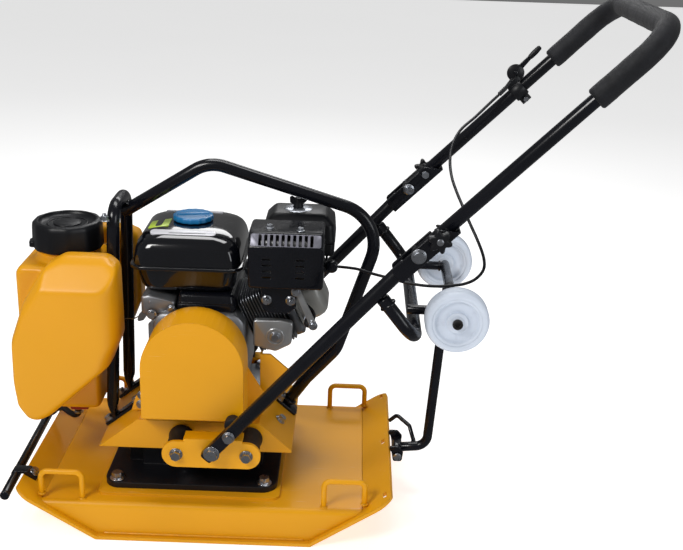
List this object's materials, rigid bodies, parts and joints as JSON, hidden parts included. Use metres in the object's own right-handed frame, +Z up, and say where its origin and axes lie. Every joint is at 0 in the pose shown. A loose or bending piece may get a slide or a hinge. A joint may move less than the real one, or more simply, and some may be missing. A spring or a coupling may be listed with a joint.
{
  "type": "vibratory plate compactor",
  "caption": "Walk-behind forward plate compactor: bent sole plate, belt-driven exciter, small petrol engine, water tank, roll frame, folding handle and fold-up transport wheels.",
  "frame": {"origin": "centre of the sole's underside", "axes": "+Z up, +X towards the operator's handle, -X the way it travels, +Y away from the belt guard side"},
  "size_m": [1.004, 0.4368, 0.8555],
  "materials": {
    "yellow_paint": "satin",
    "black_paint": "satin",
    "black_cast": "matte",
    "zinc_steel": "satin",
    "machined_steel": "satin",
    "dark_rubber": "matte",
    "foam": "matte",
    "black_plastic": "satin",
    "cast_alloy": "matte",
    "grey_enamel": "satin",
    "gloss_black": "gloss",
    "blue_plastic": "gloss",
    "yellow_plastic": "satin",
    "brass": "satin",
    "red_plastic": "satin",
    "white_nylon": "satin"
  },
  "bodies": {
    "root": {"sole_plate": "yellow_paint", "deck_plate": "yellow_paint", "lifting_staples": "yellow_paint", "engine_bed": "yellow_paint", "handle_brackets": "yellow_paint", "belt_guard": "yellow_paint", "engine_bracket": "yellow_paint", "handle_tube_near": "black_paint", "handle_tube_far": "black_paint", "handle_u_frame": "black_paint", "roll_hoop": "black_paint", "hoop_legs": "black_paint", "spray_bar": "black_paint", "lip_hinge": "black_paint", "recoil_cover": "black_paint", "muffler_guard": "black_paint", "exciter_housing": "black_cast", "exciter_covers": "black_cast", "bed_fasteners": "zinc_steel", "handle_bolts": "zinc_steel", "frame_bolts": "zinc_steel", "muffler_stay": "zinc_steel", "exciter_bearings": "zinc_steel", "rubber_mounts": "dark_rubber", "handle_buffers": "dark_rubber", "v_belt": "dark_rubber", "water_hose": "dark_rubber", "throttle_cable": "dark_rubber", "air_cleaner": "black_plastic", "spark_plug": "black_plastic", "crankcase": "cast_alloy", "cylinder": "cast_alloy", "carburettor": "cast_alloy", "muffler": "cast_alloy", "rocker_cover": "grey_enamel", "fuel_tank": "gloss_black", "water_tank": "yellow_plastic", "tap_body": "brass"},
    "upper_handle": {"handle_upper": "black_paint", "foam_grip": "foam", "throttle_clamp": "black_plastic"},
    "knob_near": {"star_knob_near": "black_plastic"},
    "knob_far": {"star_knob_far": "black_plastic"},
    "throttle_lever": {"throttle_lever": "black_plastic"},
    "crank": {"crankshaft": "machined_steel", "clutch_drum": "machined_steel", "flywheel": "machined_steel"},
    "exciter_rotor": {"eccentric_shaft": "machined_steel", "exciter_pulley": "machined_steel"},
    "wheel_frame": {"wheel_frame": "black_paint", "wheel_axles": "zinc_steel"},
    "wheel_near": {"wheel_near": "white_nylon"},
    "wheel_far": {"wheel_far": "white_nylon"},
    "water_cap": {"water_cap": "black_plastic"},
    "fuel_cap": {"fuel_cap": "blue_plastic"},
    "wing_nut": {"wing_nut": "black_plastic"},
    "choke_lever": {"choke_lever": "black_plastic"},
    "tap_lever": {"tap_lever": "red_plastic"},
    "engine_switch": {"engine_switch": "red_plastic"},
    "recoil_handle": {"recoil_handle": "black_plastic"}
  },
  "joints": [
    {"name": "handle_fold", "type": "hinge", "parent": "root", "child": "upper_handle", "pos_m": [0.322, 0, 0.503], "axis": [0, -1, 0], "range_deg": [0, 120]},
    {"name": "knob_near_turn", "type": "hinge", "parent": "upper_handle", "child": "knob_near", "pos_m": [0.35028, -0.2, 0.53128], "axis": [0, -1, 0], "continuous": true},
    {"name": "knob_far_turn", "type": "hinge", "parent": "upper_handle", "child": "knob_far", "pos_m": [0.35028, 0.2, 0.53128], "axis": [0, 1, 0], "continuous": true},
    {"name": "throttle_pivot", "type": "hinge", "parent": "upper_handle", "child": "throttle_lever", "pos_m": [0.496, 0.185, 0.714], "axis": [0, -1, 0], "range_deg": [0, 70]},
    {"name": "crank_spin", "type": "hinge", "parent": "root", "child": "crank", "pos_m": [-0.024, 0, 0.28], "axis": [0, 1, 0], "continuous": true},
    {"name": "exciter_spin", "type": "hinge", "parent": "root", "child": "exciter_rotor", "pos_m": [-0.024, 0, 0.118], "axis": [0, 1, 0], "continuous": true},
    {"name": "wheel_frame_swing", "type": "hinge", "parent": "root", "child": "wheel_frame", "pos_m": [0.316, 0, 0.079], "axis": [0, 1, 0], "range_deg": [0, 78]},
    {"name": "wheel_near_spin", "type": "hinge", "parent": "wheel_frame", "child": "wheel_near", "pos_m": [0.39, -0.141, 0.382], "axis": [0, 1, 0], "continuous": true},
    {"name": "wheel_far_spin", "type": "hinge", "parent": "wheel_frame", "child": "wheel_far", "pos_m": [0.39, 0.141, 0.382], "axis": [0, 1, 0], "continuous": true},
    {"name": "water_cap_turn", "type": "hinge", "parent": "root", "child": "water_cap", "pos_m": [-0.252, 0.025, 0.44], "axis": [0, 0, 1], "continuous": true},
    {"name": "fuel_cap_turn", "type": "hinge", "parent": "root", "child": "fuel_cap", "pos_m": [-0.041, 0.025, 0.484], "axis": [0, 0, 1], "continuous": true},
    {"name": "wing_nut_turn", "type": "hinge", "parent": "root", "child": "wing_nut", "pos_m": [0.132, 0.052, 0.505], "axis": [0, 0, 1], "continuous": true},
    {"name": "choke_turn", "type": "hinge", "parent": "root", "child": "choke_lever", "pos_m": [0.162, 0.076, 0.408], "axis": [1, 0, 0], "range_deg": [0, 50]},
    {"name": "tap_turn", "type": "hinge", "parent": "root", "child": "tap_lever", "pos_m": [-0.252, -0.001, 0.138], "axis": [0, 1, 0], "range_deg": [0, 90]},
    {"name": "switch_turn", "type": "hinge", "parent": "root", "child": "engine_switch", "pos_m": [-0.132, 0.129, 0.273], "axis": [-1, 0, 0], "range_deg": [0, 60]},
    {"name": "recoil_pull", "type": "slide", "parent": "root", "child": "recoil_handle", "axis": [0, 0.8, 0.6], "range_m": [0, 0.3], "stiffness_N_per_m": 20, "springref_m": -0.1}
  ],
  "couplings": [
    {"joint": "exciter_spin", "follows": "crank_spin", "ratio": 1.596}
  ]
}
